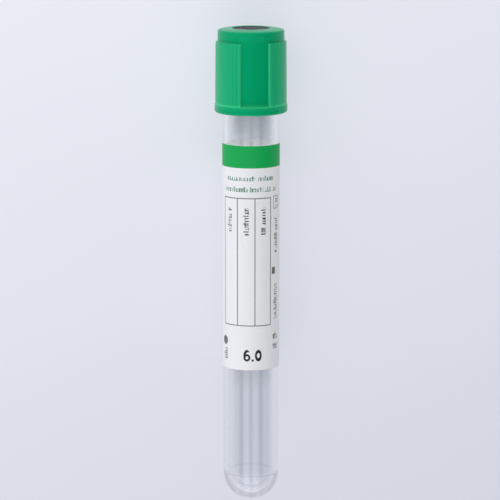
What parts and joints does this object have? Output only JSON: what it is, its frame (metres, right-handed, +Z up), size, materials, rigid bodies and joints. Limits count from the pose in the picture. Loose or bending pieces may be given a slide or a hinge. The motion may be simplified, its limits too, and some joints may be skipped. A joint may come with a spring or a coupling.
{
  "type": "blood collection tube",
  "caption": "Clear plastic collection tube with a round end, a wrap label and a pull-off green closure: a plastic shield over a grey rubber stopper. Lies on its side.",
  "frame": {"origin": "on the surface that the tube lies on, below the middle of its length and width", "axes": "+Y from the round end to the closure, level along the surface; +Z up; the tube's own axis rises 1.3155 degrees from +Y, because the closure's rim is wider than the tube"},
  "size_m": [0.0166, 0.1098, 0.0166],
  "materials": {
    "clear_plastic": "clear, polished",
    "printed_label": "satin white with green and black print",
    "green_plastic": "semi-gloss moulded",
    "stopper_rubber": "matt"
  },
  "bodies": {
    "tube": {"tube": "clear_plastic", "label": "printed_label"},
    "closure": {"shield": "green_plastic", "stopper": "stopper_rubber"}
  },
  "joints": [
    {"name": "closure_pull", "type": "slide", "parent": "tube", "child": "closure", "axis": [0, 0.9997, 0.023], "range_m": [0, 0.02]}
  ]
}
